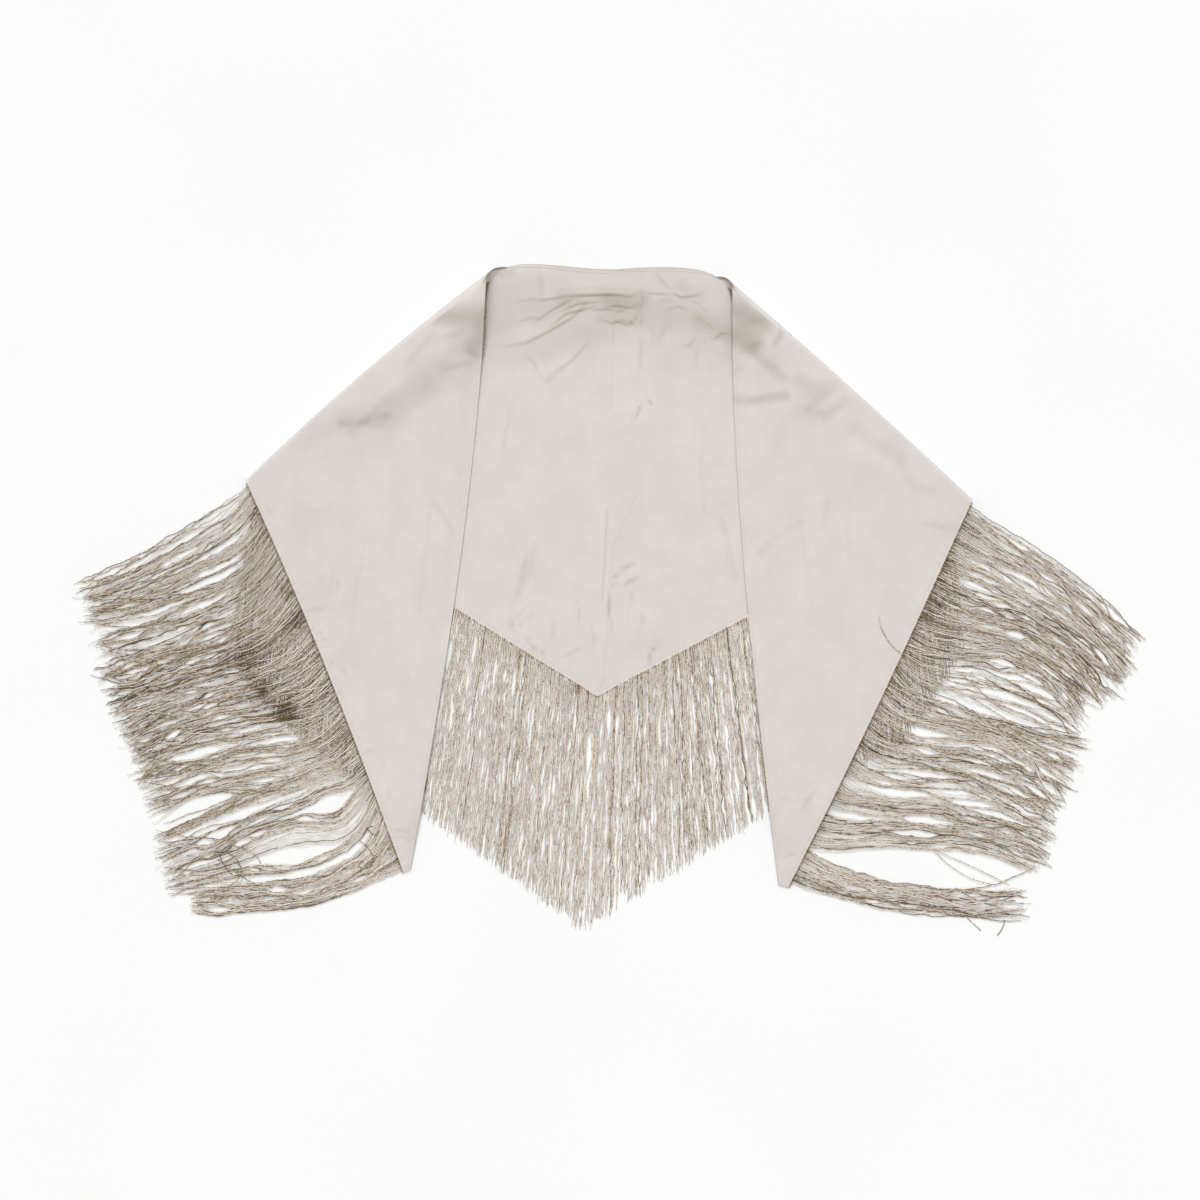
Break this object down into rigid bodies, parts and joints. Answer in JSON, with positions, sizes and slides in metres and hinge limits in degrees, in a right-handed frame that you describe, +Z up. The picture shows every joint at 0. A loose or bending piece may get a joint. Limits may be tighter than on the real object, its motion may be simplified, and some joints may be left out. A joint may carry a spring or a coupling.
{
  "type": "fringed scarf",
  "caption": "Triangular shawl scarf with a deep fringe, laid flat face up with both ends folded forward over the shoulders.",
  "frame": {"origin": "middle of the footprint, on the floor that the scarf lies on", "axes": "+X to the right as seen from above, +Y towards the neck edge, +Z up from the floor"},
  "size_m": [1.1587, 0.7259, 0.017],
  "materials": {
    "washed_silk_cloth": "soft washed silk with a slubbed weave",
    "twisted_rayon_fringe": "twisted rayon yarn with a low lustre"
  },
  "bodies": {
    "root": {"cloth_left": "washed_silk_cloth", "cloth_right": "washed_silk_cloth", "fringe_back_left": "twisted_rayon_fringe", "fringe_back_right": "twisted_rayon_fringe", "fringe_front_left": "twisted_rayon_fringe", "fringe_front_right": "twisted_rayon_fringe"}
  },
  "joints": []
}
